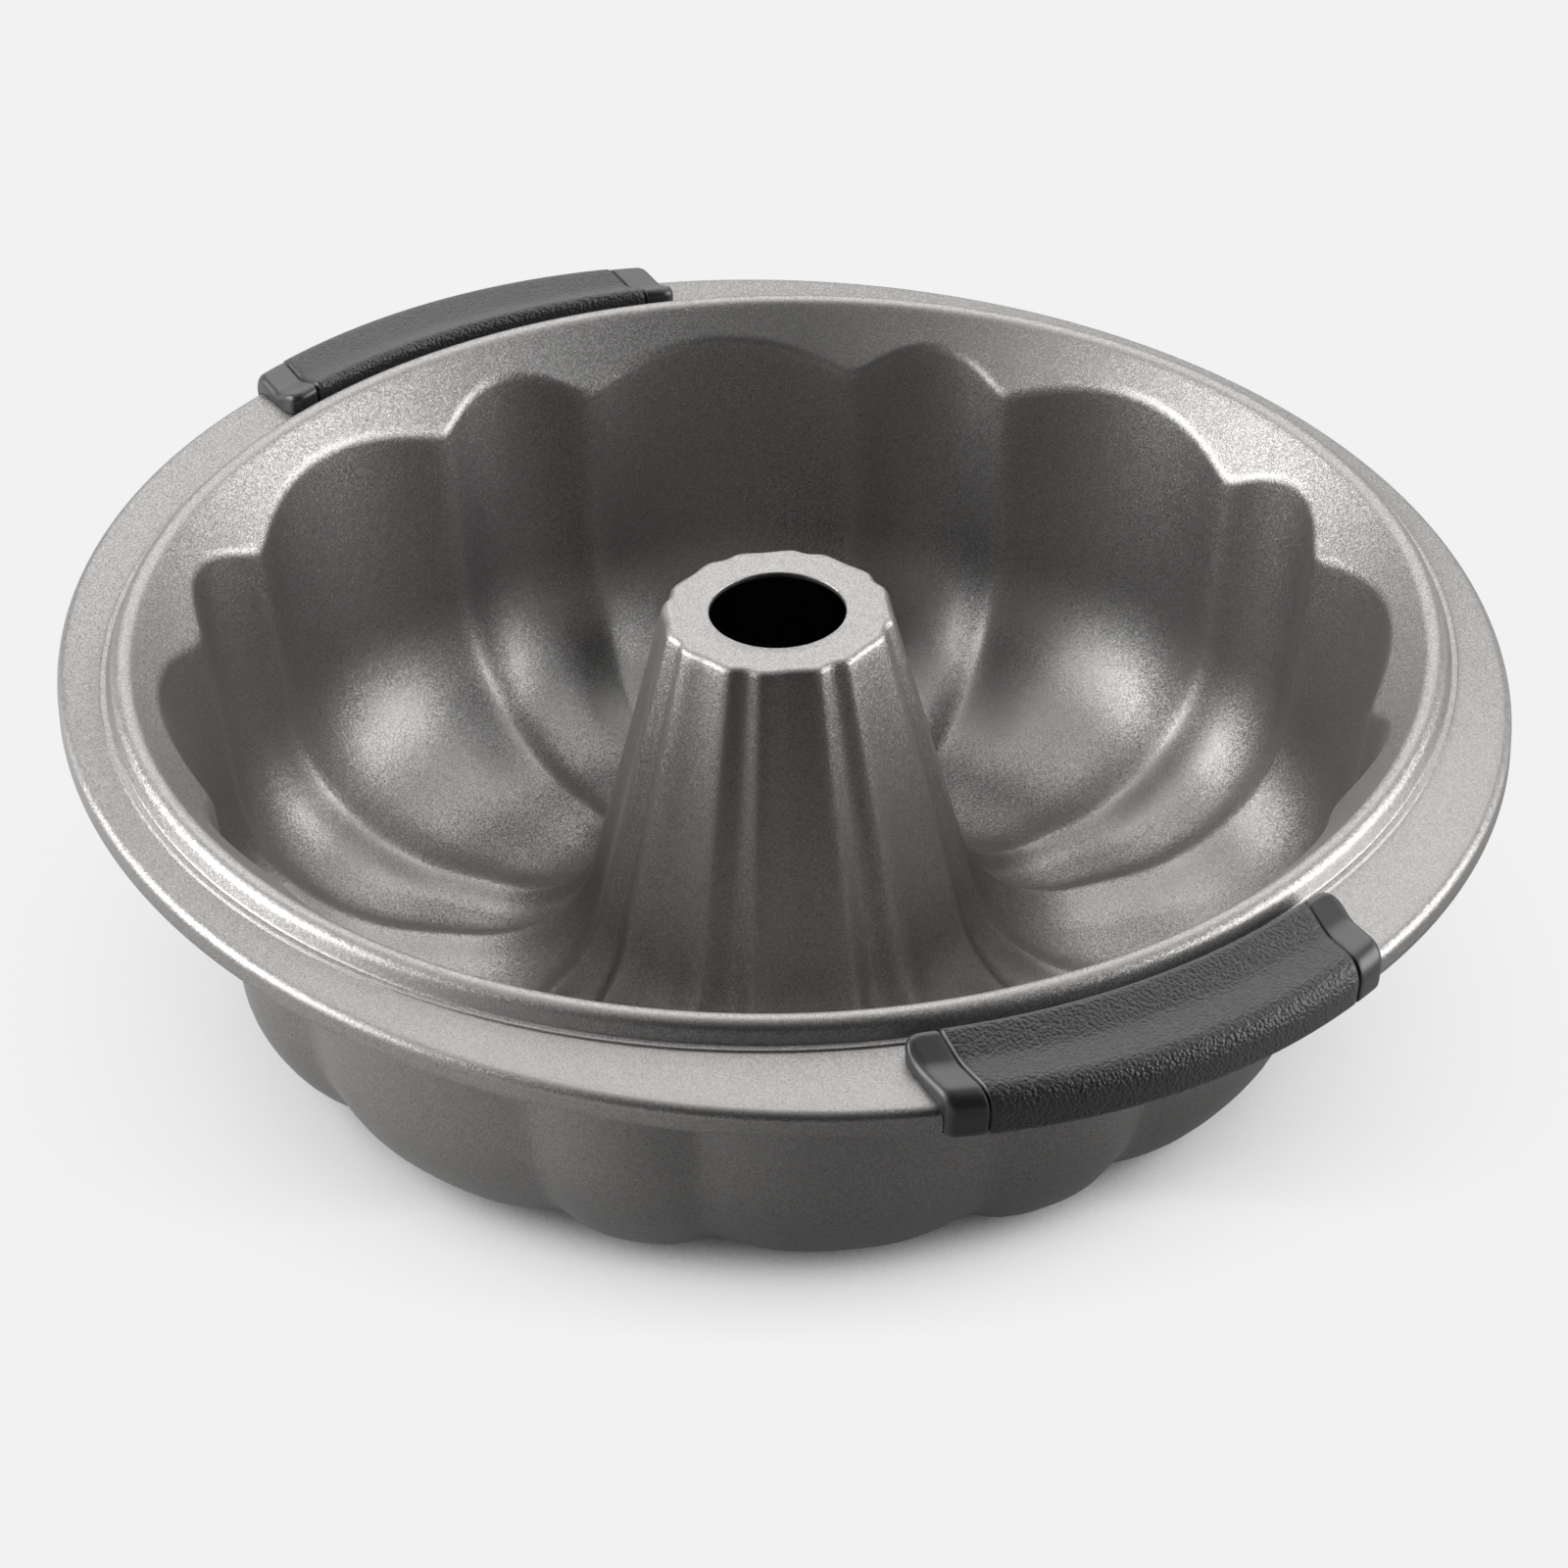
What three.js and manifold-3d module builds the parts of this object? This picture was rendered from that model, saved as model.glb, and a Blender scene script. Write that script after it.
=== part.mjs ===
import * as THREE from 'three';
import { mergeVertices } from 'three/addons/utils/BufferGeometryUtils.js';
import Module from 'manifold-3d';

// Fluted tube pan: one pressed and coated steel sheet, with two silicone grips moulded on its rim.
// Millimetres, +Z up, X along the grips, origin on the table under the middle of the tube.

// Steel sheet, measured on its upper side
const SHEET = 1.2;
const CREST_DIAMETER = 241.3;
const CREST_RISE = 4.4;
const CREST_ROUND = 2.5;
const RISER_SLOPE = 55;
const FOOT_ROUND = 0.9;
const FLANGE_HEIGHT = 75;
const FLANGE_DROOP = 2.1;
const FLANGE_WIDTH_AT_GRIPS = 17.6;
const FLANGE_WIDTH_BETWEEN = 6.2;
const RIM_ROUND = 2;
const LIP_DEPTH = 4.5;

// Collar, wall and floor of the ring-shaped hollow
const COLLAR_SLOPE = 46.5;
const COLLAR_WIDTH = 6.4;
const SHOULDER_ROUND = 3;
const WALL_DRAFT = 7.95;
const FLOOR_ROUND_AT_WALL = 37;
const FLOOR_ROUND_AT_TUBE = 26;

// Centre tube
const TUBE_HEIGHT = 82.6;
const TUBE_HOLE_DIAMETER = 25.4;
const TUBE_RING_WIDTH = 8;
const TUBE_TAPER = 13;
const TUBE_ROUND = 1.6;

// Flutes: wide and narrow ones take turns round the pan, with a ridge between each two
const FLUTE_PAIRS = 8;
const NARROW_FLUTE_ANGLE = 16.7;
const RIDGE_ROUND_ANGLE = 1.25;
const RIDGE_AT_WALL_TOP = 4.2;
const RIDGE_AT_WALL_FOOT = 2.9;
const RIDGE_ON_FLOOR = 2.2;
const RIDGE_AT_TUBE_FOOT = 2.4;
const RIDGE_AT_TUBE_TOP = 0.9;
const FOOT_FLAT_SHARE = 0.2;

// Silicone grips, each a sleeve over the flange and its lip
const GRIP_LENGTH = 86.4;
const GRIP_WALL_AT_SHOULDER = 2.5;
const GRIP_WALL_AT_FOOT = 1.2;
const GRIP_BULGE = 1;
const GRIP_UNDER = 1;
const GRIP_RIDGE_RISE = 5;
const GRIP_DISH_RISE = 0.9;
const GRIP_DISH_OFFSET = 8;
const GRIP_SHOULDER_RISE = 1.9;
const GRIP_RIDGE_ROUND = 1.6;
const GRIP_DISH_ROUND = 6;
const GRIP_SHOULDER_ROUND = 4;
const GRIP_FOOT_ROUND = 2;
const GRIP_CORNER_ROUND = 3;
const GRIP_END_ROUND = 0.6;
const GRIP_CAP_LENGTH = 6.6;
const GRIP_CAP_DROP = 0.3;
const GRIP_GROOVE_WIDTH = 1;
const GRIP_GROOVE_DEPTH = 0.6;
const PEG_COUNT = 3;
const PEG_DIAMETER = 6;
const PEG_SPACING = 27;
const FIT = 0.3;

// Fineness of the facets
const COLUMNS_ACROSS_WIDE_FLUTE = 8;
const COLUMNS_ACROSS_NARROW_FLUTE = 6;
const COLUMN_CROWDING = 1.6;
const PANEL_STEPS = 9;
const CORNER_STEPS = 4;
const PEG_SIDES = 16;
const SMALL_ANGLE = 1e-4;
const SIDE_SHARE = 0.49;

// Sizes that follow from those above
const crestRadius = CREST_DIAMETER / 2;
const holeRadius = TUBE_HOLE_DIAMETER / 2;
const riser = THREE.MathUtils.degToRad(RISER_SLOPE);
const collar = THREE.MathUtils.degToRad(COLLAR_SLOPE);
const draft = THREE.MathUtils.degToRad(WALL_DRAFT);
const taper = THREE.MathUtils.degToRad(TUBE_TAPER);
const beadCentre = [crestRadius, FLANGE_HEIGHT + CREST_RISE - CREST_ROUND];
const riserLine = tangentLine(beadCentre, CREST_ROUND, [-Math.cos(riser), Math.sin(riser)]);
const collarLine = tangentLine(beadCentre, CREST_ROUND, [-Math.cos(collar), -Math.sin(collar)]);
const riserFoot = meet(riserLine, level(FLANGE_HEIGHT));
const rimEdgeHeight = FLANGE_HEIGHT - FLANGE_DROOP;
const lipHeight = rimEdgeHeight - LIP_DEPTH;
const pairAngle = 2 * Math.PI / FLUTE_PAIRS;
const narrowHalf = THREE.MathUtils.degToRad(NARROW_FLUTE_ANGLE) / 2;
const wideHalf = pairAngle / 2 - narrowHalf;
const rimLong = riserFoot[0] + FLANGE_WIDTH_AT_GRIPS;
const rimShort = riserFoot[0] + FLANGE_WIDTH_BETWEEN;
const gripInner = riserFoot[0] + FOOT_ROUND + FIT;

const wasm = await Module();
wasm.setup();

// A section line is a point and a direction. Sections run from the lip inwards to the tube's hole.
function tangentLine(centre, radius, direction) {
  const [dr, dz] = direction;
  return { point: [centre[0] + radius * dz, centre[1] - radius * dr], direction };
}

function level(height) {
  return { point: [0, height], direction: [-1, 0] };
}

function through(from, to) {
  return { point: from, direction: [to[0] - from[0], to[1] - from[1]] };
}

function meet(a, b) {
  const cross = a.direction[0] * b.direction[1] - a.direction[1] * b.direction[0];
  const gap = [b.point[0] - a.point[0], b.point[1] - a.point[1]];
  const along = (gap[0] * b.direction[1] - gap[1] * b.direction[0]) / cross;
  return [a.point[0] + along * a.direction[0], a.point[1] + along * a.direction[1]];
}

// Rounds one corner of a section with a fixed number of points, so that every section of a loft
// has the same count. The round is kept within its share of each side that it joins. A corner
// that has no round stays sharp.
function roundCorner(before, corner, after) {
  const at = new THREE.Vector2(...corner.at);
  if (!corner.round) {
    return [{ at }];
  }
  const back = new THREE.Vector2(...before.at).sub(at);
  const ahead = new THREE.Vector2(...after.at).sub(at);
  const room = SIDE_SHARE * Math.min(back.length(), ahead.length());
  back.normalize();
  ahead.normalize();
  const half = Math.acos(THREE.MathUtils.clamp(back.dot(ahead), -1, 1)) / 2;
  const reach = Math.min(corner.round / Math.tan(half), room);
  const radius = reach * Math.tan(half);
  const centre = back.clone().add(ahead).normalize().multiplyScalar(radius / Math.sin(half)).add(at);
  const start = back.clone().multiplyScalar(reach).add(at).sub(centre);
  const turn = Math.sign(back.cross(start)) * (Math.PI - 2 * half);
  const points = [];
  for (let step = 0; step <= corner.steps; step += 1) {
    const angle = turn * step / corner.steps;
    const spoke = start.clone().rotateAround(new THREE.Vector2(), angle);
    const tangent = back.clone().negate().rotateAround(new THREE.Vector2(), angle);
    points.push({ at: spoke.add(centre), tangent });
  }
  return points;
}

// Rim outline: an ellipse, longer along the grips.
function rimRadius(phi) {
  return rimLong * rimShort / Math.hypot(rimShort * Math.cos(phi), rimLong * Math.sin(phi));
}

// Height of the ridges as a share: 0 in the middle of a flute, 1 on the ridge. In plan each flute
// is a circular arc, and the cusp between two arcs is rounded over a small angle.
function ridgeShare(phi) {
  const turned = Math.abs(THREE.MathUtils.euclideanModulo(phi + pairAngle / 2, pairAngle) - pairAngle / 2);
  const half = turned < narrowHalf ? narrowHalf : wideHalf;
  const fromRidge = Math.abs(turned - narrowHalf);
  const soft = THREE.MathUtils.degToRad(RIDGE_ROUND_ANGLE);
  const rounded = (Math.hypot(fromRidge, soft) - soft) / (Math.hypot(half, soft) - soft) * half;
  const outer = crestRadius - COLLAR_WIDTH;
  const inner = outer - RIDGE_AT_WALL_TOP;
  const centre = (outer ** 2 - inner ** 2) / (2 * (outer - inner * Math.cos(half)));
  const arc = outer - centre;
  const off = half - rounded;
  const radius = centre * Math.cos(off) + Math.sqrt(arc ** 2 - (centre * Math.sin(off)) ** 2);
  return (outer - radius) / (outer - inner);
}

// Section of the sheet's upper side at one angle, from the lip to the tube's hole.
function sheetSection(phi) {
  const ridge = ridgeShare(phi);
  const rim = rimRadius(phi);
  const floorRidge = RIDGE_ON_FLOOR * Math.max(0, ridge - FOOT_FLAT_SHARE) / (1 - FOOT_FLAT_SHARE);
  const wallTop = crestRadius - COLLAR_WIDTH;
  const wallFoot = wallTop - (FLANGE_HEIGHT - SHEET) * Math.tan(draft);
  const wall = through(
    [wallTop - ridge * RIDGE_AT_WALL_TOP, FLANGE_HEIGHT],
    [wallFoot - ridge * RIDGE_AT_WALL_FOOT, SHEET],
  );
  const tubeTop = holeRadius + TUBE_RING_WIDTH;
  const tubeFoot = tubeTop + (TUBE_HEIGHT - SHEET) * Math.tan(taper);
  const tube = through(
    [tubeFoot + ridge * RIDGE_AT_TUBE_FOOT, SHEET],
    [tubeTop + ridge * RIDGE_AT_TUBE_TOP, TUBE_HEIGHT],
  );
  const floor = level(SHEET + floorRidge);
  const corners = [
    { at: [rim, lipHeight] },
    { at: [rim, rimEdgeHeight], round: RIM_ROUND, steps: 2 },
    { at: riserFoot, round: FOOT_ROUND, steps: 1 },
    { at: meet(riserLine, collarLine), round: CREST_ROUND, steps: 2 },
    { at: meet(collarLine, wall), round: SHOULDER_ROUND, steps: 2 },
    { at: meet(wall, floor), round: FLOOR_ROUND_AT_WALL, steps: 4 },
    { at: meet(floor, tube), round: FLOOR_ROUND_AT_TUBE, steps: 3 },
    { at: meet(tube, level(TUBE_HEIGHT)), round: TUBE_ROUND, steps: 1 },
    { at: [holeRadius, TUBE_HEIGHT] },
  ];
  const last = corners.length - 1;
  const points = [{ at: new THREE.Vector2(...corners[0].at), tangent: new THREE.Vector2(0, 1) }];
  for (let k = 1; k < last; k += 1) {
    points.push(...roundCorner(corners[k - 1], corners[k], corners[k + 1]));
  }
  points.push({ at: new THREE.Vector2(...corners[last].at), tangent: new THREE.Vector2(-1, 0) });
  return points;
}

function inSpace(at, phi) {
  return new THREE.Vector3(at.x * Math.cos(phi), at.x * Math.sin(phi), at.y);
}

// Upper and lower side of the sheet at one angle. The lower side lies one sheet thickness
// along the surface normal, taken across the section and round the pan.
function sheetColumn(phi) {
  const before = sheetSection(phi - SMALL_ANGLE);
  const after = sheetSection(phi + SMALL_ANGLE);
  const upper = [];
  const lower = [];
  sheetSection(phi).forEach((point, k) => {
    const place = inSpace(point.at, phi);
    const across = inSpace(point.tangent, phi);
    const round = inSpace(after[k].at, phi + SMALL_ANGLE).sub(inSpace(before[k].at, phi - SMALL_ANGLE));
    const normal = round.cross(across).normalize();
    upper.push(place);
    lower.push(place.clone().addScaledVector(normal, -SHEET));
  });
  return { upper, lower };
}

// Angles of the columns round the pan, crowded towards the ridges.
function columnAngles() {
  const angles = [];
  const flute = (middle, half, count) => {
    for (let k = 0; k < count; k += 1) {
      const side = 2 * k / count - 1;
      const off = Math.sign(side) * (1 - (1 - Math.abs(side)) ** COLUMN_CROWDING);
      angles.push(middle + half * off);
    }
  };
  for (let pair = 0; pair < FLUTE_PAIRS; pair += 1) {
    flute(pair * pairAngle, narrowHalf, COLUMNS_ACROSS_NARROW_FLUTE);
    flute((pair + 0.5) * pairAngle, wideHalf, COLUMNS_ACROSS_WIDE_FLUTE);
  }
  return angles;
}

// Joins rings of points, each closed on itself, into one closed skin. A loft that goes all the way
// round joins its last ring to its first, and an open one gets a cap at each end.
function loft(rings, goesRound) {
  const size = rings[0].length;
  const faces = [];
  const count = goesRound ? rings.length : rings.length - 1;
  for (let j = 0; j < count; j += 1) {
    const here = j * size;
    const next = (j + 1) % rings.length * size;
    for (let i = 0; i < size; i += 1) {
      const up = (i + 1) % size;
      faces.push(here + i, next + i, here + up, next + i, next + up, here + up);
    }
  }
  return { points: rings.flat(), faces };
}

function capLoft(skin, size, outline) {
  const triangles = THREE.ShapeUtils.triangulateShape(outline, []);
  const lastRing = skin.points.length - size;
  for (const [a, b, c] of triangles) {
    skin.faces.push(a, b, c);
    skin.faces.push(lastRing + a, lastRing + c, lastRing + b);
  }
}

function solidFrom(points, faces) {
  const geometry = new THREE.BufferGeometry().setFromPoints(points);
  geometry.setIndex(faces);
  return asSolid(geometry);
}

function asSolid(geometry) {
  const bare = geometry.clone();
  bare.deleteAttribute('normal');
  bare.deleteAttribute('uv');
  const merged = mergeVertices(bare);
  const vertProperties = new Float32Array(merged.attributes.position.array);
  const triVerts = new Uint32Array(merged.index.array);
  return new wasm.Manifold(new wasm.Mesh({ numProp: 3, vertProperties, triVerts }));
}

function asGeometry(solid) {
  const mesh = solid.getMesh();
  const geometry = new THREE.BufferGeometry();
  geometry.setAttribute('position', new THREE.BufferAttribute(mesh.vertProperties, 3));
  geometry.setIndex(new THREE.BufferAttribute(mesh.triVerts, 1));
  geometry.computeVertexNormals();
  return geometry;
}

// Planes across a grip stand square to Y. Each crosses the rim and the foot of the riser, and the
// slant is how much longer a thickness of the rim is within the plane.
function acrossGrip(y) {
  const rim = rimLong * Math.sqrt(1 - (y / rimShort) ** 2);
  const slant = Math.hypot(1, rimLong ** 2 * y / (rimShort ** 2 * rim));
  const foot = Math.sqrt(riserFoot[0] ** 2 - y ** 2);
  const inner = Math.sqrt(gripInner ** 2 - y ** 2);
  return { rim, slant, foot, inner };
}

// Pegs of a grip, or the wider holes for them in the flange, along the middle of the flange.
function pegs(turn, diameter) {
  let joined = null;
  for (let k = 0; k < PEG_COUNT; k += 1) {
    const y = (k - (PEG_COUNT - 1) / 2) * PEG_SPACING;
    const { rim, foot } = acrossGrip(y);
    const height = FLANGE_DROOP + 2 * (SHEET + FIT + GRIP_UNDER);
    const peg = new THREE.CylinderGeometry(diameter / 2, diameter / 2, height, PEG_SIDES);
    peg.rotateX(Math.PI / 2);
    peg.translate((foot + rim) / 2, y, FLANGE_HEIGHT - FLANGE_DROOP / 2 - SHEET / 2);
    peg.rotateZ(turn);
    joined = joined ? joined.add(asSolid(peg)) : asSolid(peg);
  }
  return joined;
}

function panShell() {
  const rings = columnAngles().map((phi) => {
    const { upper, lower } = sheetColumn(phi);
    return [...upper, ...lower.reverse()];
  });
  const { points, faces } = loft(rings, true);
  const holes = pegs(0, PEG_DIAMETER + 2 * FIT).add(pegs(Math.PI, PEG_DIAMETER + 2 * FIT));
  return asGeometry(solidFrom(points, faces).subtract(holes));
}

function closedSection(corners) {
  const points = [];
  corners.forEach((corner, k) => {
    const before = corners[(k + corners.length - 1) % corners.length];
    const after = corners[(k + 1) % corners.length];
    points.push(...roundCorner(before, corner, after).map((point) => point.at));
  });
  return points;
}

// Outline of a grip in one plane: a ridge beside the pan's bead, a shallow dish and a rounded
// shoulder over the rim. The inset draws in every side, the drop lowers the top, and the corner
// moves the inner side out along the top.
function gripSection({ y, inset, drop, corner }) {
  const { rim, slant, inner } = acrossGrip(y);
  const slope = (GRIP_RIDGE_RISE - GRIP_DISH_RISE) / GRIP_DISH_OFFSET;
  const side = inner + corner + inset;
  const outer = rim + slant * FIT + GRIP_BULGE * (1 - (2 * y / GRIP_LENGTH) ** 2) - inset;
  const shoulder = outer + slant * GRIP_WALL_AT_SHOULDER;
  const foot = outer + slant * GRIP_WALL_AT_FOOT;
  const bottom = lipHeight - FIT - GRIP_UNDER + inset;
  const top = FLANGE_HEIGHT - inset - drop;
  return closedSection([
    { at: [foot, bottom], round: GRIP_FOOT_ROUND, steps: 2 },
    { at: [shoulder, top + GRIP_SHOULDER_RISE], round: GRIP_SHOULDER_ROUND, steps: 4 },
    { at: [inner + GRIP_DISH_OFFSET, top + GRIP_DISH_RISE], round: GRIP_DISH_ROUND, steps: 2 },
    { at: [side, top + GRIP_RIDGE_RISE - slope * corner], round: GRIP_RIDGE_ROUND, steps: 3 },
    { at: [side, bottom], round: GRIP_END_ROUND, steps: 1 },
  ]);
}

// Room for the flange and its lip inside a grip, open towards the pan.
function slotSection({ y }) {
  const { rim, slant, foot } = acrossGrip(y);
  const flange = through([rim, rimEdgeHeight], [foot, FLANGE_HEIGHT]);
  const under = SHEET + FIT;
  const outside = rim + slant * FIT;
  const inside = rim - slant * under;
  const mouth = foot - under;
  const heightAt = (x) => meet(flange, { point: [x, 0], direction: [0, 1] })[1];
  return closedSection([
    { at: [outside, lipHeight - FIT] },
    { at: [outside, rimEdgeHeight + FIT], round: RIM_ROUND, steps: 2 },
    { at: [mouth, heightAt(mouth) + FIT] },
    { at: [mouth, heightAt(mouth) - under] },
    { at: [inside, heightAt(inside) - under] },
    { at: [inside, lipHeight - FIT] },
  ]);
}

function sweep(stations, section) {
  const outlines = stations.map(section);
  const rings = outlines.map((outline, k) => {
    const { y } = stations[k];
    return outline.map((at) => new THREE.Vector3(at.x, y, at.y));
  });
  const skin = loft(rings, false);
  capLoft(skin, outlines[0].length, outlines[0]);
  return solidFrom(skin.points, skin.faces);
}

// Stations along a grip: at each end the rounded corner, the smooth cap and the groove beside it,
// and between the grooves the panel, which stands a little higher than the caps.
function gripStations() {
  const end = GRIP_LENGTH / 2;
  const panelEnd = end - GRIP_CAP_LENGTH - GRIP_GROOVE_WIDTH;
  const grooveMiddle = panelEnd + GRIP_GROOVE_WIDTH / 2;
  const half = [];
  for (let k = 0; k <= CORNER_STEPS; k += 1) {
    const angle = k / CORNER_STEPS * Math.PI / 2;
    const along = GRIP_CORNER_ROUND * (1 - Math.cos(angle));
    const left = Math.max(0, GRIP_END_ROUND - along);
    half.push({
      y: along - end,
      inset: GRIP_END_ROUND - Math.sqrt(GRIP_END_ROUND ** 2 - left ** 2),
      drop: GRIP_CAP_DROP,
      corner: GRIP_CORNER_ROUND * (1 - Math.sin(angle)),
    });
  }
  half.push({ y: GRIP_CAP_LENGTH - end, inset: 0, drop: GRIP_CAP_DROP, corner: 0 });
  half.push({ y: -grooveMiddle, inset: GRIP_GROOVE_DEPTH, drop: 0, corner: 0 });
  const panel = [];
  for (let k = 0; k <= PANEL_STEPS; k += 1) {
    panel.push({ y: panelEnd * (2 * k / PANEL_STEPS - 1), inset: 0, drop: 0, corner: 0 });
  }
  const otherHalf = half.map((station) => ({ ...station, y: -station.y })).reverse();
  return [...half, ...panel, ...otherHalf];
}

function grip() {
  const stations = gripStations();
  const beyond = GRIP_LENGTH / 2 + GRIP_CAP_LENGTH;
  const body = sweep(stations, gripSection);
  const slot = sweep([{ y: -beyond }, ...stations, { y: beyond }], slotSection);
  return asGeometry(body.subtract(slot.subtract(pegs(0, PEG_DIAMETER))));
}

const coating = new THREE.MeshStandardMaterial({ color: 0x8b8885, roughness: 0.42, metalness: 0.6 });
const silicone = new THREE.MeshStandardMaterial({ color: 0x3e3f40, roughness: 0.7, metalness: 0 });

function piece(name, geometry, material) {
  const mesh = new THREE.Mesh(geometry, material);
  mesh.name = name;
  return mesh;
}

const gripGeometry = grip();
const pan = new THREE.Group();
pan.add(piece('pan_shell', panShell(), coating.clone()));
pan.add(piece('front_grip', gripGeometry, silicone.clone()));
const rearEnd = new THREE.Group();
rearEnd.rotation.z = Math.PI;
rearEnd.add(piece('rear_grip', gripGeometry.clone(), silicone.clone()));
pan.add(rearEnd);

export default pan;
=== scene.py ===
import math

import bmesh
import bpy
from mathutils import Matrix, Quaternion, Vector


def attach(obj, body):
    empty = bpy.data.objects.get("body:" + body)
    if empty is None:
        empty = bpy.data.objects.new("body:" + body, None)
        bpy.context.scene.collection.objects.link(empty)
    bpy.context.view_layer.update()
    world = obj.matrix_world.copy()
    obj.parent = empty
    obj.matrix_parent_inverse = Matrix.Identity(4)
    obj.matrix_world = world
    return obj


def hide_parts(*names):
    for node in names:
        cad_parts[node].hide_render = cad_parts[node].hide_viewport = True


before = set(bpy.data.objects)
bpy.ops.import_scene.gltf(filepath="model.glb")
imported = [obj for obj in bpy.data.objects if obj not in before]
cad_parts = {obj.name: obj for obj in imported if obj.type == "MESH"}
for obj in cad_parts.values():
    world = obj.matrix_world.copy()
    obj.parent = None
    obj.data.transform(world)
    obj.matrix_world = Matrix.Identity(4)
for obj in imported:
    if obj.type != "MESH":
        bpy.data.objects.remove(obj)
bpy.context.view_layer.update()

# ------------------------------------------------------------------------------------------------
# Pan shell: one steel sheet, drawn to a ring-shaped hollow round a tube and pressed into flutes.
# Its edge is trimmed to an oval and turned down, and a grey non-stick coating with fine flakes
# covers both sides. Sizes are in millimetres on the sheet's upper side.
# ------------------------------------------------------------------------------------------------
mm = 0.001
sheet = 1.2
flange_height = 75.0
flange_droop = 2.1
flange_foot = 125.03
rim_along_grips = 142.63
rim_between_grips = 131.23
rim_round = 2.0
lip_depth = 4.5
ledge_rise = 0.5
ledge_edge_round = 0.2
ledge_corner_round = 0.3
bead_radius = 120.65
bead_rise = 4.4
bead_round = 2.5
bead_foot_round = 0.5
lead_in = 10.0
riser_slope = math.radians(70)
collar_slope = math.radians(46.5)
collar_width = 6.4
shoulder_round = 4.5
wall_draft = math.radians(7.95)
wall_floor_round = 37.0
tube_floor_round = 26.0
tube_height = 82.6
tube_hole = 12.7
tube_ring = 8.0
tube_taper = math.radians(13)
tube_edge_round = 1.7
cut_edge_break = 0.25
near_enough = 0.01

pairs_of_flutes = 8
pair_angle = math.tau / pairs_of_flutes
narrow_half = math.radians(16.7) / 2
wide_half = pair_angle / 2 - narrow_half
ridge_soft_on_wall = math.radians(1.5)
ridge_soft_on_tube = math.radians(6)
ridge_at_wall_top = 4.2
ridge_at_wall_foot = 2.9
ridge_on_floor = 2.2
ridge_at_tube_foot = 2.4
ridge_at_tube_top = 0.62
foot_share = 0.2
foot_soft = 0.12
columns_in_narrow = 16
columns_in_wide = 24
crowding = 1.5

rim_edge_height = flange_height - flange_droop
lip_height = rim_edge_height - lip_depth


def meet(point, along, other, beside):
    """Where two lines of a section cross, each given by a point and a direction."""
    share = (other - point).cross(beside) / along.cross(beside)
    return point + along * share


def round_off(before, corner, after, radius, steps):
    """Points of the arc that rounds one corner of a section."""
    back = before - corner
    ahead = after - corner
    room = 0.49 * min(back.length, ahead.length)
    back.normalize()
    ahead.normalize()
    half = back.angle(ahead) / 2
    reach = min(radius / math.tan(half), room)
    radius = reach * math.tan(half)
    centre = corner + (back + ahead).normalized() * (radius / math.sin(half))
    start = corner + back * reach - centre
    turn = math.copysign(math.pi - 2 * half, back.cross(start))
    return [centre + Matrix.Rotation(turn * k / steps, 2) @ start for k in range(steps + 1)]


def between(first, last, shares):
    """Points on the straight line from one point to another."""
    return [first.lerp(last, share) for share in shares]


def ridge_share(angle, soft):
    """0 in the middle of a flute, 1 on the ridge beside it. In plan a flute is a circular arc."""
    angle = abs((angle + pair_angle / 2) % pair_angle - pair_angle / 2)
    half = narrow_half if angle < narrow_half else wide_half
    away = math.hypot(angle - narrow_half, soft) - soft
    off = half - away / (math.hypot(half, soft) - soft) * half
    outer = bead_radius - collar_width
    inner = outer - ridge_at_wall_top
    centre = (outer**2 - inner**2) / (2 * (outer - inner * math.cos(half)))
    chord = math.sqrt((outer - centre) ** 2 - (centre * math.sin(off)) ** 2)
    return (outer - centre * math.cos(off) - chord) / (outer - inner)


bead_centre = Vector((bead_radius, flange_height + bead_rise - bead_round))
riser_way = Vector((-math.cos(riser_slope), math.sin(riser_slope)))
collar_way = Vector((-math.cos(collar_slope), -math.sin(collar_slope)))
inward = Vector((-1, 0))
on_riser = bead_centre + bead_round * Vector((riser_way.y, -riser_way.x))
on_collar = bead_centre + bead_round * Vector((collar_way.y, -collar_way.x))
bead_top = meet(on_riser, riser_way, on_collar, collar_way)
riser_foot = meet(on_riser, riser_way, Vector((0, flange_height)), inward)
foot_edge = Vector((flange_foot, flange_height))
first_foot_ring = 15  # the section's point at which the flange comes to the foot of the bead


def eased(share):
    """Ridges rise from the floor only beyond the foot that the pan stands on."""
    return share - foot_share + math.hypot(share - foot_share, foot_soft)


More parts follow.
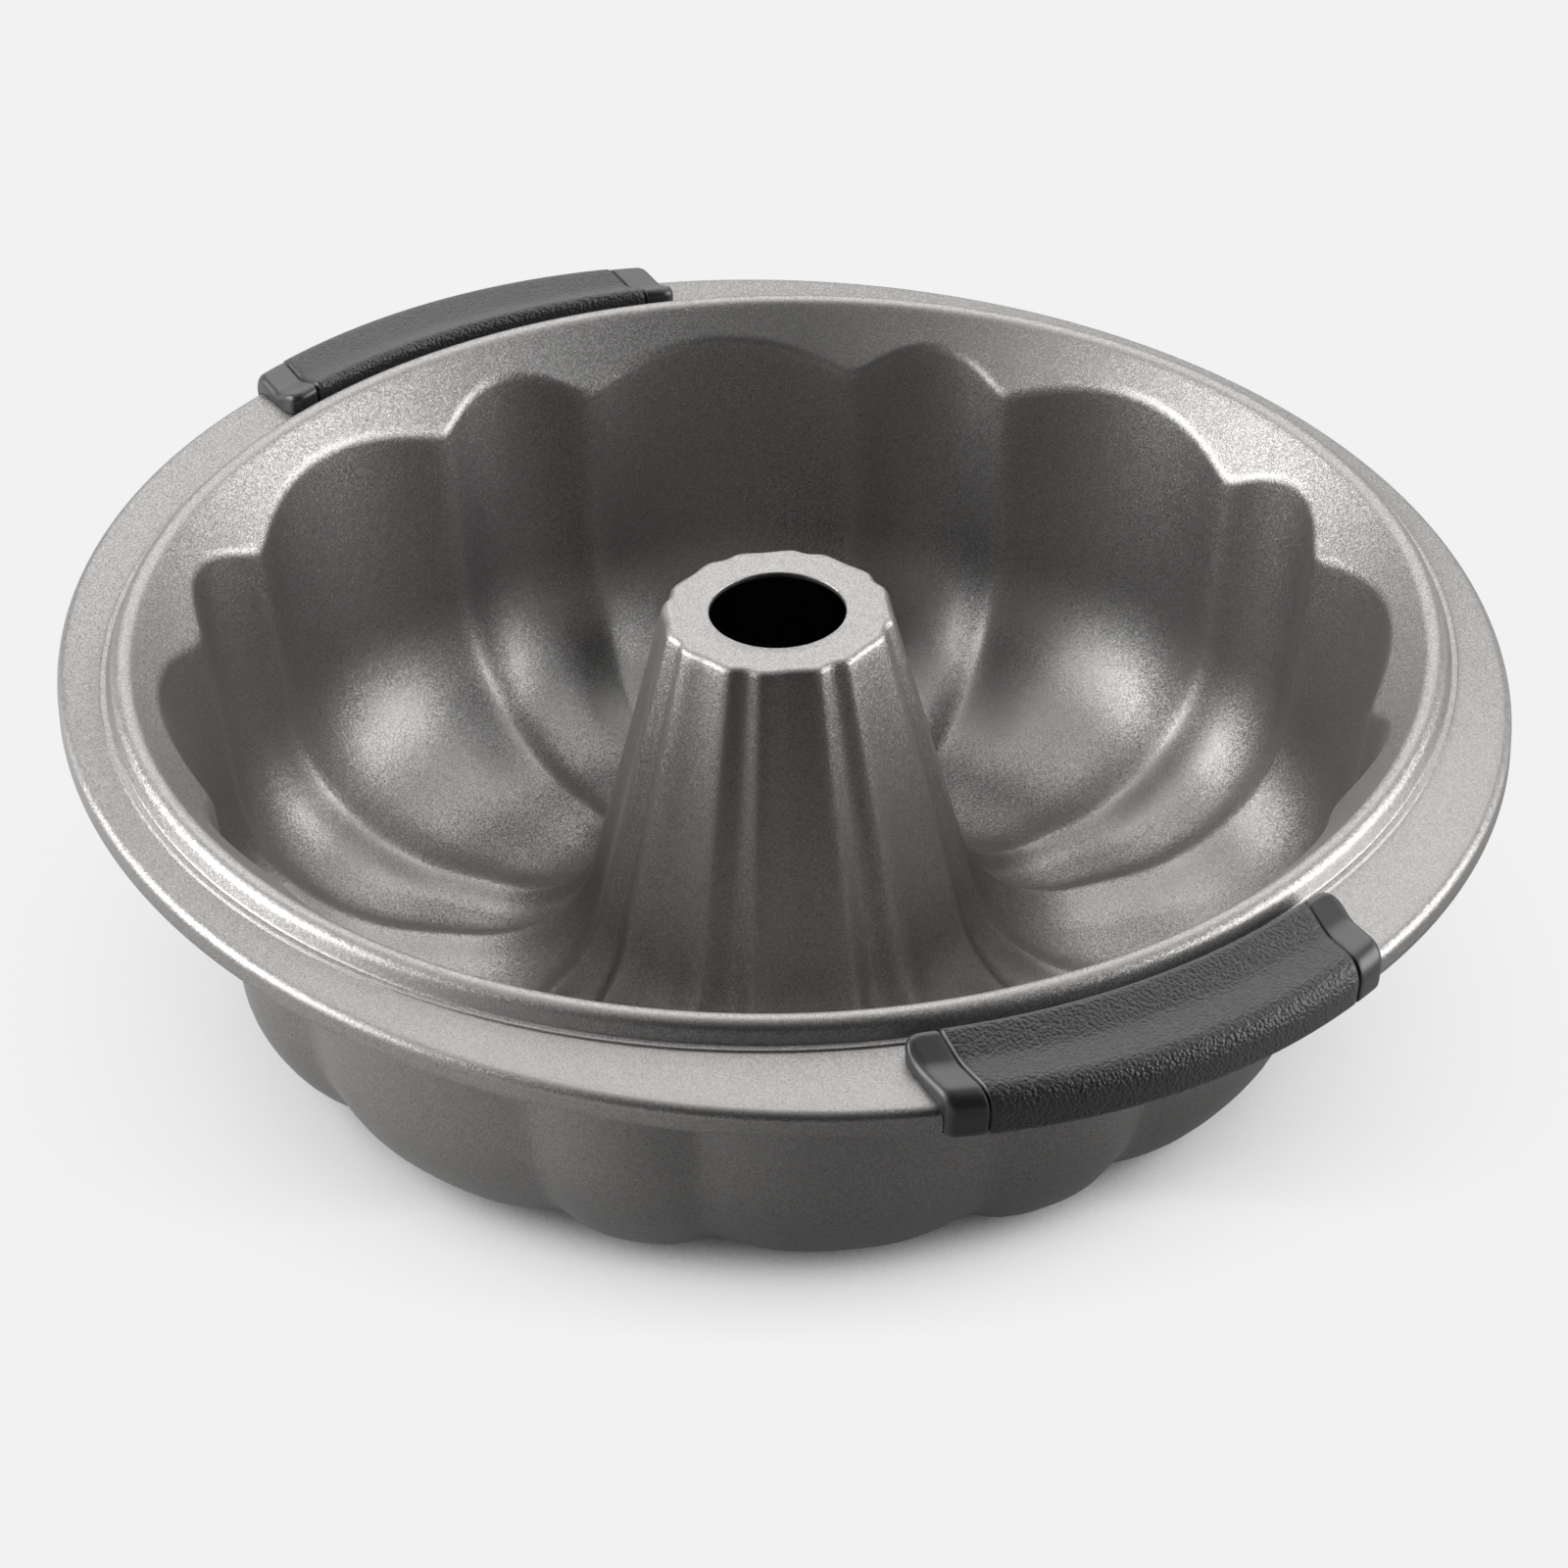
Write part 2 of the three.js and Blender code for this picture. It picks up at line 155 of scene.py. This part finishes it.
def sheet_section(angle):
    """The sheet's upper side at one angle round the pan, from the lip to the hole in the tube."""
    on_wall = ridge_share(angle, ridge_soft_on_wall)
    on_tube = ridge_share(angle, ridge_soft_on_tube)
    floor_ridge = ridge_on_floor * (eased(on_wall) - eased(0)) / (eased(1) - eased(0))
    rim = rim_along_grips * rim_between_grips / math.hypot(
        rim_between_grips * math.cos(angle), rim_along_grips * math.sin(angle)
    )
    lip = Vector((rim, lip_height))
    rim_edge = Vector((rim, rim_edge_height))
    wall_run = flange_height - sheet
    wall_top = Vector((bead_radius - collar_width - on_wall * ridge_at_wall_top, flange_height))
    wall_foot_radius = bead_radius - collar_width - wall_run * math.tan(wall_draft)
    wall_foot = Vector((wall_foot_radius - on_wall * ridge_at_wall_foot, sheet))
    tube_top = Vector((tube_hole + tube_ring + on_tube * ridge_at_tube_top, tube_height))
    tube_foot_radius = tube_hole + tube_ring + (tube_height - sheet) * math.tan(tube_taper)
    tube_foot = Vector((tube_foot_radius + on_tube * ridge_at_tube_foot, sheet))
    floor = Vector((0, sheet + floor_ridge))
    shoulder = meet(on_collar, collar_way, wall_top, wall_foot - wall_top)
    wall_end = meet(wall_top, wall_foot - wall_top, floor, inward)
    tube_end = meet(tube_foot, tube_top - tube_foot, floor, inward)
    hole = Vector((tube_hole, tube_height))

    over_rim = round_off(lip, rim_edge, foot_edge, rim_round, 8)
    riser = round_off(foot_edge, riser_foot, bead_top, bead_foot_round, 4)
    bead = round_off(bead_top - lead_in * riser_way, bead_top, shoulder, bead_round, 12)
    into_flute = round_off(bead_top, shoulder, wall_end, shoulder_round, 8)
    onto_floor = round_off(shoulder, wall_end, tube_end, wall_floor_round, 16)
    up_tube = round_off(wall_end, tube_end, tube_top, tube_floor_round, 12)
    tube_edge = round_off(tube_end, tube_top, hole, tube_edge_round, 5)
    return [
        lip, *between(lip, over_rim[0], (0.4, 0.9)), *over_rim,
        *between(over_rim[-1], foot_edge, (0.1, 0.5, 0.9)),
        *between(foot_edge, riser[0], (-0.3, 0, 0.4, 0.8)), *riser,
        *between(riser[-1], bead[0], (0.3, 0.8)), *bead,
        *between(bead[-1], into_flute[0], (0.1, 0.5, 0.9)), *into_flute,
        *between(into_flute[-1], onto_floor[0], (0.05, 0.35, 0.65, 0.95)), *onto_floor,
        *between(onto_floor[-1], up_tube[0], (0.33, 0.67)), *up_tube,
        *between(up_tube[-1], tube_edge[0], (0.05, 0.35, 0.65, 0.97)), *tube_edge,
        *between(tube_edge[-1], hole, (0.12, 0.55)), hole,
    ]


def crowd(middle, half, count):
    """Angles across one flute, closer together beside its ridges."""
    sides = [2 * k / count - 1 for k in range(count)]
    shares = [math.copysign(1 - (1 - abs(side)) ** crowding, side) for side in sides]
    return [middle + half * share for share in shares]


columns = []
for pair in range(pairs_of_flutes):
    columns += crowd(pair * pair_angle, narrow_half, columns_in_narrow)
    columns += crowd((pair + 0.5) * pair_angle, wide_half, columns_in_wide)
sections = [sheet_section(angle) for angle in columns]

# The blank is drawn from the lip to the hole, one ring after another, with no flutes yet.
blank = sheet_section(pair_angle / 2)
bpy.ops.object.select_all(action="DESELECT")
bpy.ops.mesh.primitive_circle_add(
    vertices=len(columns), radius=blank[0].x * mm,
    location=(0, 0, blank[0].y * mm), fill_type="NOTHING",
)
pan = bpy.context.object
pan.name = "coated_pan_shell"
bpy.ops.object.transform_apply(location=True, rotation=True, scale=True)
bpy.ops.object.mode_set(mode="EDIT")
bpy.ops.mesh.select_all(action="SELECT")
for here, there in zip(blank, blank[1:]):
    rise = (0, 0, (there.y - here.y) * mm)
    draw = (there.x / here.x, there.x / here.x, 1)
    bpy.ops.mesh.extrude_edges_move(TRANSFORM_OT_translate={"value": rise})
    bpy.ops.transform.resize(value=draw, center_override=(0, 0, 0))
bpy.ops.object.mode_set(mode="OBJECT")

# The press gives each point of the blank its place in the fluted, oval sheet.
for vertex in pan.data.vertices:
    ring = vertex.index // len(columns)
    column = round(math.atan2(vertex.co.y, vertex.co.x) / math.tau * len(columns)) % len(columns)
    angle = columns[column]
    radius, height = sections[column][ring] * mm
    vertex.co = radius * math.cos(angle), radius * math.sin(angle), height

bpy.ops.object.modifier_add(type="SOLIDIFY")
pan.modifiers["Solidify"].thickness = sheet * mm
pan.modifiers["Solidify"].offset = -1
pan.modifiers["Solidify"].use_even_offset = True
bpy.ops.object.modifier_apply(modifier="Solidify")

# A narrow ledge is coined into the upper side at the foot of the bead.
ledge_edge = foot_edge + Vector((0, ledge_rise))
ledge_corner = meet(on_riser, riser_way, ledge_edge, inward)
ledge = [
    *round_off(foot_edge - lead_in * inward, foot_edge, ledge_edge, ledge_edge_round, 2),
    *round_off(foot_edge, ledge_edge, ledge_corner, ledge_edge_round, 2),
    *round_off(ledge_edge, ledge_corner, on_riser, ledge_corner_round, 2),
]
for step, point in enumerate(ledge):
    start = (first_foot_ring + step) * len(columns)
    for vertex in pan.data.vertices[start:start + len(columns)]:
        vertex.co *= point.x * mm / math.hypot(vertex.co.x, vertex.co.y)
        vertex.co.z = point.y * mm

# The cut edges of the lip and of the hole are broken by a small bevel.
bpy.ops.object.mode_set(mode="EDIT")
bpy.ops.mesh.select_mode(type="EDGE")
bpy.ops.mesh.select_all(action="DESELECT")
cut = bmesh.from_edit_mesh(pan.data)
for edge in cut.edges:
    low, high = sorted(vertex.co.z for vertex in edge.verts)
    near, far = sorted(vertex.co.xy.length for vertex in edge.verts)
    on_lip = abs(high - lip_height * mm) < near_enough * mm and near > flange_foot * mm
    on_hole = abs(far - tube_hole * mm) < near_enough * mm
    along_lip = on_lip and far - near < 0.5 * sheet * mm
    along_hole = on_hole and high - low < 0.5 * sheet * mm
    if along_lip or along_hole:
        edge.select_set(True)
bmesh.update_edit_mesh(pan.data)
bpy.ops.mesh.bevel(offset=cut_edge_break * mm, segments=2)
bpy.ops.object.mode_set(mode="OBJECT")
bpy.ops.object.shade_smooth_by_angle(angle=math.radians(60))

coating = bpy.data.materials.new("grey_flake_coating")
coating.use_nodes = True
nodes = coating.node_tree.nodes
links = coating.node_tree.links
finish = nodes["Principled BSDF"]
finish.inputs["Metallic"].default_value = 1.0
place = nodes.new("ShaderNodeTexCoord")
flakes = nodes.new("ShaderNodeTexVoronoi")
flakes.inputs["Scale"].default_value = 5200
links.new(place.outputs["Object"], flakes.inputs["Vector"])
tilt = nodes.new("ShaderNodeVectorMath")
tilt.operation = "SUBTRACT"
tilt.inputs[1].default_value = (0.5, 0.5, 0.5)
links.new(flakes.outputs["Color"], tilt.inputs[0])
lean = nodes.new("ShaderNodeVectorMath")
lean.operation = "MULTIPLY_ADD"
lean.inputs[1].default_value = (0.2, 0.2, 0.2)
surface = nodes.new("ShaderNodeNewGeometry")
links.new(tilt.outputs["Vector"], lean.inputs[0])
links.new(surface.outputs["Normal"], lean.inputs[2])
level = nodes.new("ShaderNodeVectorMath")
level.operation = "NORMALIZE"
links.new(lean.outputs["Vector"], level.inputs[0])
links.new(level.outputs["Vector"], finish.inputs["Normal"])
cloud = nodes.new("ShaderNodeTexNoise")
cloud.inputs["Scale"].default_value = 45
cloud.inputs["Detail"].default_value = 6
links.new(place.outputs["Object"], cloud.inputs["Vector"])
tone = nodes.new("ShaderNodeValToRGB")
tone.color_ramp.elements[0].color = (0.177, 0.172, 0.168, 1)
tone.color_ramp.elements[1].color = (0.319, 0.311, 0.304, 1)
spread = nodes.new("ShaderNodeSeparateColor")
links.new(flakes.outputs["Color"], spread.inputs["Color"])
links.new(spread.outputs["Red"], tone.inputs["Fac"])
links.new(tone.outputs["Color"], finish.inputs["Base Color"])
sheen = nodes.new("ShaderNodeMapRange")
sheen.inputs["To Min"].default_value = 0.41
sheen.inputs["To Max"].default_value = 0.47
links.new(cloud.outputs["Fac"], sheen.inputs["Value"])
links.new(sheen.outputs["Result"], finish.inputs["Roughness"])
pan.data.materials.append(coating)

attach(pan, "root")
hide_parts("pan_shell")

# ------------------------------------------------------------------------------------------------
# Grips: two alike mouldings of dark grey silicone, each a sleeve over the flange and its lip at one
# end of the oval. A smooth cap closes each end, and a groove divides it from the grained panel.
# ------------------------------------------------------------------------------------------------
grip_half = 43.2
grip_inner = 126.23
wall_at_shoulder = 2.5
wall_at_foot = 1.2
bulge = 1.0
under_lip = 1.0
ridge_rise = 5.0
dish_rise = 1.7
dish_offset = 8.0
shoulder_rise = 2.2
cap_length = 6.2
cap_drop = 0.3
groove_width = 1.0
groove_depth = 0.6
plan_round = 4.0
end_round = 1.5
foot_round = 1.8
outer_shoulder_round = 6.5
dish_round = 7.0
inner_ridge_round = 2.2
slot_mouth_round = 0.25
slot_round = 0.1
under_round = 0.8
hold = 0.1


def grip_section(y, inset, drop):
    """Closed outline of a grip in a plane across it, with the room for flange and lip left open."""
    rim = rim_along_grips * math.sqrt(1 - (y / rim_between_grips) ** 2)
    slant = math.hypot(1, rim_along_grips**2 * y / (rim_between_grips**2 * rim))
    foot = math.sqrt(flange_foot**2 - y**2)
    inner = math.sqrt(grip_inner**2 - y**2)
    left = max(0, plan_round - (grip_half - abs(y)))
    corner = plan_round - math.sqrt(plan_round**2 - left**2)
    side = inner + corner + inset
    outer = rim + slant * hold + bulge * (1 - (y / grip_half) ** 2) - inset
    bottom = lip_height - hold - under_lip + inset
    top = flange_height - inset - drop
    fall = (ridge_rise - dish_rise) / dish_offset

    def flange_at(x):
        return flange_height - flange_droop * (x - foot) / (rim - foot)

    outside = rim + slant * hold
    inside = rim - slant * (sheet + hold)
    under = sheet + hold
    corners = [
        ((outer + slant * wall_at_foot, bottom), foot_round, 6),
        ((outer + slant * wall_at_shoulder, top + shoulder_rise), outer_shoulder_round, 12),
        ((inner + dish_offset, top + dish_rise), dish_round, 8),
        ((side, top + ridge_rise - fall * corner), inner_ridge_round, 8),
        ((side, flange_at(side) + hold), slot_mouth_round, 2),
        ((outside, rim_edge_height + hold), rim_round + hold, 6),
        ((outside, lip_height - hold), slot_round, 1),
        ((inside, lip_height - hold), slot_round, 1),
        ((inside, flange_at(inside) - under), slot_round, 1),
        ((side, flange_at(side) - under), slot_mouth_round, 2),
        ((side, bottom), under_round, 3),
    ]
    places = [Vector(at) for at, _, _ in corners]
    along_side = (0.12, 0.5, 0.88)
    outline = []
    for k, (_, radius, steps) in enumerate(corners):
        following = places[(k + 1) % len(places)]
        arc = round_off(places[k - 1], places[k], following, radius, steps)
        if outline:
            outline += between(outline[-1], arc[0], along_side)
        outline += arc
    return outline + between(outline[-1], outline[0], along_side)


# Stations from the middle of the grip to its end: panel, groove, cap and rounded end.
# Each has its place along the grip, its inset all round and its drop on the upper side.
stations = []
panel_half = grip_half - cap_length - groove_width
panel_steps = 12.5
end_steps = 6
for k in range(math.ceil(panel_steps)):
    stations.append((panel_half * k / panel_steps, 0, 0))
groove_shape = (
    (0, 0.02), (0.12, 0.12), (0.28, 0.5), (0.4, 0.9), (0.5, 1),
    (0.6, 0.9), (0.72, 0.5), (0.88, 0.12), (1, 0.02),
)
for across, depth in groove_shape:
    y = panel_half + across * groove_width
    stations.append((y, depth * groove_depth, across * cap_drop))
for from_end in (5.4, 4.2, 3.2, 2.6, 2.0):
    stations.append((grip_half - from_end, 0, cap_drop))
for k in range(end_steps + 1):
    turn = k / end_steps * math.pi / 2
    y = grip_half - end_round * (1 - math.sin(turn))
    stations.append((y, end_round * (1 - math.cos(turn)), cap_drop))
stations = [(-y, inset, drop) for y, inset, drop in reversed(stations[1:])] + stations
outlines = [grip_section(*station) for station in stations]

# A ring stands across the first end of the grip and is extruded from station to station.
points = len(outlines[0])
ring_radius = 8 * mm
ring_centre = Vector((130 * mm, 72 * mm))
bpy.ops.object.select_all(action="DESELECT")
bpy.ops.mesh.primitive_circle_add(
    vertices=points, radius=ring_radius, fill_type="NOTHING",
    location=(ring_centre.x, stations[0][0] * mm, ring_centre.y),
    rotation=(math.pi / 2, 0, 0),
)
front_grip = bpy.context.object
front_grip.name = "front_silicone_grip"
bpy.ops.object.transform_apply(location=True, rotation=True, scale=True)
bpy.ops.object.mode_set(mode="EDIT")
bpy.ops.mesh.select_all(action="SELECT")
bpy.ops.mesh.edge_face_add()
bpy.ops.mesh.select_mode(type="EDGE")
bpy.ops.mesh.select_all(action="SELECT")
for here, there in zip(stations, stations[1:]):
    step = (0, (there[0] - here[0]) * mm, 0)
    bpy.ops.mesh.extrude_edges_move(TRANSFORM_OT_translate={"value": step})
bpy.ops.mesh.edge_face_add()
bpy.ops.object.mode_set(mode="OBJECT")
for vertex in front_grip.data.vertices:
    outline = outlines[vertex.index // points]
    turn = math.atan2(vertex.co.z - ring_centre.y, vertex.co.x - ring_centre.x)
    from_first = round((turn - math.pi / 2) / math.tau * points)
    vertex.co.x, vertex.co.z = outline[from_first % points] * mm
bpy.ops.object.mode_set(mode="EDIT")
bpy.ops.mesh.select_all(action="SELECT")
bpy.ops.mesh.normals_make_consistent(inside=False)
bpy.ops.object.mode_set(mode="OBJECT")
bpy.ops.object.shade_smooth_by_angle(angle=math.radians(50))

cap_silicone = bpy.data.materials.new("smooth_cap_silicone")
cap_silicone.use_nodes = True
nodes = cap_silicone.node_tree.nodes
links = cap_silicone.node_tree.links
finish = nodes["Principled BSDF"]
place = nodes.new("ShaderNodeTexCoord")
cloud = nodes.new("ShaderNodeTexNoise")
cloud.inputs["Scale"].default_value = 220
cloud.inputs["Detail"].default_value = 5
links.new(place.outputs["Object"], cloud.inputs["Vector"])
tone = nodes.new("ShaderNodeValToRGB")
tone.color_ramp.elements[0].color = (0.006, 0.006, 0.0062, 1)
tone.color_ramp.elements[1].color = (0.0095, 0.0095, 0.0098, 1)
links.new(cloud.outputs["Fac"], tone.inputs["Fac"])
links.new(tone.outputs["Color"], finish.inputs["Base Color"])
sheen = nodes.new("ShaderNodeMapRange")
sheen.inputs["To Min"].default_value = 0.34
sheen.inputs["To Max"].default_value = 0.42
links.new(cloud.outputs["Fac"], sheen.inputs["Value"])
links.new(sheen.outputs["Result"], finish.inputs["Roughness"])
finish.inputs["Sheen Weight"].default_value = 0.06
finish.inputs["Sheen Roughness"].default_value = 0.5
front_grip.data.materials.append(cap_silicone)

panel_silicone = cap_silicone.copy()
panel_silicone.name = "grained_panel_silicone"
nodes = panel_silicone.node_tree.nodes
links = panel_silicone.node_tree.links
finish = nodes["Principled BSDF"]
place = nodes["Texture Coordinate"]
nodes["Map Range"].inputs["To Min"].default_value = 0.46
nodes["Map Range"].inputs["To Max"].default_value = 0.54
wander = nodes.new("ShaderNodeTexNoise")
wander.inputs["Scale"].default_value = 700
links.new(place.outputs["Object"], wander.inputs["Vector"])
drift = nodes.new("ShaderNodeVectorMath")
drift.operation = "MULTIPLY_ADD"
drift.inputs[1].default_value = (0.0008, 0.0008, 0.0008)
links.new(wander.outputs["Color"], drift.inputs[0])
links.new(place.outputs["Object"], drift.inputs[2])
grain = nodes.new("ShaderNodeTexVoronoi")
grain.feature = "SMOOTH_F1"
grain.inputs["Scale"].default_value = 1500
grain.inputs["Smoothness"].default_value = 0.35
links.new(drift.outputs["Vector"], grain.inputs["Vector"])
emboss = nodes.new("ShaderNodeBump")
emboss.invert = True
emboss.inputs["Strength"].default_value = 0.5
emboss.inputs["Distance"].default_value = 0.0005
links.new(grain.outputs["Distance"], emboss.inputs["Height"])
links.new(emboss.outputs["Normal"], finish.inputs["Normal"])
front_grip.data.materials.append(panel_silicone)
for face in front_grip.data.polygons:
    if abs(face.center.y) < panel_half * mm:
        face.material_index = 1

bpy.ops.object.duplicate()
rear_grip = bpy.context.object
rear_grip.name = "rear_silicone_grip"
bpy.ops.transform.rotate(value=math.pi, orient_axis="Z", center_override=(0, 0, 0))
bpy.ops.object.transform_apply(location=True, rotation=True, scale=True)

for grip, node in ((front_grip, "front_grip"), (rear_grip, "rear_grip")):
    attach(grip, "root")
    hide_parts(node)

# ------------------------------------------------------------------------------------------------
# Studio: a wide pale floor with a painted shadow of the pan in its glow, a low pale backdrop behind
# it, large soft lamps at both sides and at the back, and a camera that looks down on the pan past
# its front grip.
# ------------------------------------------------------------------------------------------------
to_camera = Vector((0.880, -0.475, 0)).normalized()
to_right = Vector((0.4755, 0.8797, 0)).normalized()
pan_middle = Vector((0, 0, 0.05))
floor_size = 30

bpy.ops.object.select_all(action="DESELECT")
bpy.ops.mesh.primitive_plane_add(size=floor_size, location=(0, 0, 0))
floor = bpy.context.object
floor.name = "studio_floor"
pale = bpy.data.materials.new("pale_floor")
pale.use_nodes = True
nodes = pale.node_tree.nodes
links = pale.node_tree.links
nodes["Principled BSDF"].inputs["Base Color"].default_value = (0.8, 0.8, 0.8, 1)
nodes["Principled BSDF"].inputs["Roughness"].default_value = 0.9
rays = nodes.new("ShaderNodeLightPath")
seen = nodes.new("ShaderNodeMath")
seen.operation = "MAXIMUM"
links.new(rays.outputs["Is Camera Ray"], seen.inputs[0])
links.new(rays.outputs["Is Glossy Ray"], seen.inputs[1])
seen_through = nodes.new("ShaderNodeMath")
seen_through.operation = "MAXIMUM"
links.new(seen.outputs["Value"], seen_through.inputs[0])
links.new(rays.outputs["Is Transmission Ray"], seen_through.inputs[1])

# The painted shadow under the pan, an ambient-occlusion darkening of the floor's glow, is short in
# front of it and wide beside it.
painted_contact_shadow = nodes.new("ShaderNodeAmbientOcclusion")
painted_contact_shadow.samples = 24
place = nodes.new("ShaderNodeTexCoord")
ahead = nodes.new("ShaderNodeVectorMath")
ahead.operation = "DOT_PRODUCT"
ahead.inputs[1].default_value = to_camera
links.new(place.outputs["Object"], ahead.inputs[0])
shadow = nodes.new("ShaderNodeMapRange")
shadow.inputs["From Min"].default_value = 0.05
shadow.inputs["From Max"].default_value = 0.11
shadow.inputs["To Min"].default_value = 0.11
shadow.inputs["To Max"].default_value = 0.026
links.new(ahead.outputs["Value"], shadow.inputs["Value"])
reach = nodes.new("ShaderNodeMapRange")
reach.inputs["To Min"].default_value = 0.14
links.new(rays.outputs["Is Camera Ray"], reach.inputs["Value"])
links.new(shadow.outputs["Result"], reach.inputs["To Max"])
links.new(reach.outputs["Result"], painted_contact_shadow.inputs["Distance"])

# The steel reflects a floor whose glow is painted brighter towards the two side lamps: a painted
# pool of light.
across = nodes.new("ShaderNodeVectorMath")
across.operation = "DOT_PRODUCT"
across.inputs[1].default_value = to_right
links.new(place.outputs["Object"], across.inputs[0])
painted_lamp_pool = nodes.new("ShaderNodeMath")
for k, (nearest, farthest) in enumerate(((0, -0.18), (0.1, 0.4))):
    near_lamp = nodes.new("ShaderNodeMapRange")
    near_lamp.inputs["From Min"].default_value = nearest
    near_lamp.inputs["From Max"].default_value = farthest
    near_lamp.inputs["To Min"].default_value = 0.15
    near_lamp.inputs["To Max"].default_value = 0.85
    links.new(across.outputs["Value"], near_lamp.inputs["Value"])
    links.new(near_lamp.outputs["Result"], painted_lamp_pool.inputs[k])
glow = nodes.new("ShaderNodeEmission")
level = nodes.new("ShaderNodeMapRange")
level.inputs["To Max"].default_value = 0.887
links.new(painted_lamp_pool.outputs["Value"], level.inputs["To Min"])
links.new(rays.outputs["Is Camera Ray"], level.inputs["Value"])
links.new(level.outputs["Result"], glow.inputs["Strength"])
# Painted shadow: the floor's glow is darkened where the pan closes in the space round it.
painted_shadow_fade = nodes.new("ShaderNodeValToRGB")
painted_shadow_fade.color_ramp.interpolation = "CARDINAL"
for open_share, shade in ((0.13, 0.1), (0.2, 0.36), (0.29, 0.68), (0.43, 0.87), (0.65, 0.98)):
    painted_shadow_fade.color_ramp.elements.new(open_share).color = (shade, shade, shade, 1)
links.new(painted_contact_shadow.outputs["AO"], painted_shadow_fade.inputs["Fac"])
links.new(painted_shadow_fade.outputs["Color"], glow.inputs["Color"])
floor_mix = nodes.new("ShaderNodeMixShader")
links.new(seen_through.outputs["Value"], floor_mix.inputs["Fac"])
links.new(nodes["Principled BSDF"].outputs["BSDF"], floor_mix.inputs[1])
links.new(glow.outputs["Emission"], floor_mix.inputs[2])
links.new(floor_mix.outputs["Shader"], nodes["Material Output"].inputs["Surface"])
floor.data.materials.append(pale)

backdrop_width = 6
backdrop_height = 0.9
backdrop_distance = 2.4
bpy.ops.object.select_all(action="DESELECT")
bpy.ops.mesh.primitive_plane_add(
    size=1, location=Vector((0, 0, backdrop_height / 2)) - backdrop_distance * to_camera,
    rotation=to_camera.to_track_quat("Z", "Y").to_euler(),
)
backdrop = bpy.context.object
backdrop.scale = (backdrop_width, backdrop_height, 1)
backdrop.name = "studio_backdrop"
bright = pale.copy()
bright.name = "pale_backdrop"
shine = bright.node_tree.nodes[level.name].inputs["To Min"]
bright.node_tree.links.remove(shine.links[0])
shine.default_value = 1.0
backdrop.data.materials.append(bright)


lamp_distance = 1.3
low_side = math.radians(18.5)
low_back = math.radians(33)
high_back = math.radians(60)
high_side = math.radians(66)
back_corner = math.radians(50)


def soft_lamp(name, way, elevation, width, tall, radiance):
    """A soft box that faces the middle of the pan, as bright as its radiance says."""
    upward = Vector((0, 0, math.sin(elevation)))
    spot = pan_middle + lamp_distance * (way.normalized() * math.cos(elevation) + upward)
    turn = (pan_middle - spot).to_track_quat("-Z", "Y").to_euler()
    bpy.ops.object.light_add(type="AREA", location=spot, rotation=turn)
    lamp = bpy.context.object
    lamp.name = name
    lamp.data.shape = "RECTANGLE"
    lamp.data.size = width
    lamp.data.size_y = tall
    lamp.data.energy = radiance * math.pi * width * tall


soft_lamp("left_lamp", -to_right, low_side, 1.0, 0.84, 9.9)
soft_lamp("right_lamp", to_right, low_side, 1.0, 0.84, 8.1)
soft_lamp("back_lamp", -to_camera, low_back, 1.2, 0.55, 2.9)
for name, side in (("back_left_lamp", -1), ("back_right_lamp", 1)):
    way = Matrix.Rotation(side * back_corner, 3, "Z") @ -to_camera
    soft_lamp(name, way, low_back, 1.2, 0.55, 1.4)
soft_lamp("high_back_lamp", -to_camera, high_back, 1.3, 0.6, 3.2)
soft_lamp("high_left_lamp", -to_right, high_side, 0.74, 0.5, 2.1)
soft_lamp("high_right_lamp", to_right, high_side, 0.74, 0.5, 2.1)

studio = bpy.data.worlds.new("studio_air")
bpy.context.scene.world = studio
studio.use_nodes = True
nodes = studio.node_tree.nodes
rays = nodes.new("ShaderNodeLightPath")
studio.node_tree.links.new(rays.outputs["Is Camera Ray"], nodes["Background"].inputs["Strength"])
nodes["Background"].inputs["Color"].default_value = (0.88, 0.88, 0.88, 1)

camera_spot = (0.8191, -0.4420, 0.6852)
aim = Vector((-0.72432, 0.39148, -0.56756))
roll = Quaternion((0, 0, 1), math.radians(-1))
tip = aim.to_track_quat("-Z", "Y") @ roll
bpy.ops.object.camera_add(location=camera_spot, rotation=tip.to_euler())
camera = bpy.context.object
camera.data.lens = 138.2
camera.data.sensor_width = 36
bpy.context.scene.camera = camera
bpy.context.scene.view_settings.view_transform = "Standard"
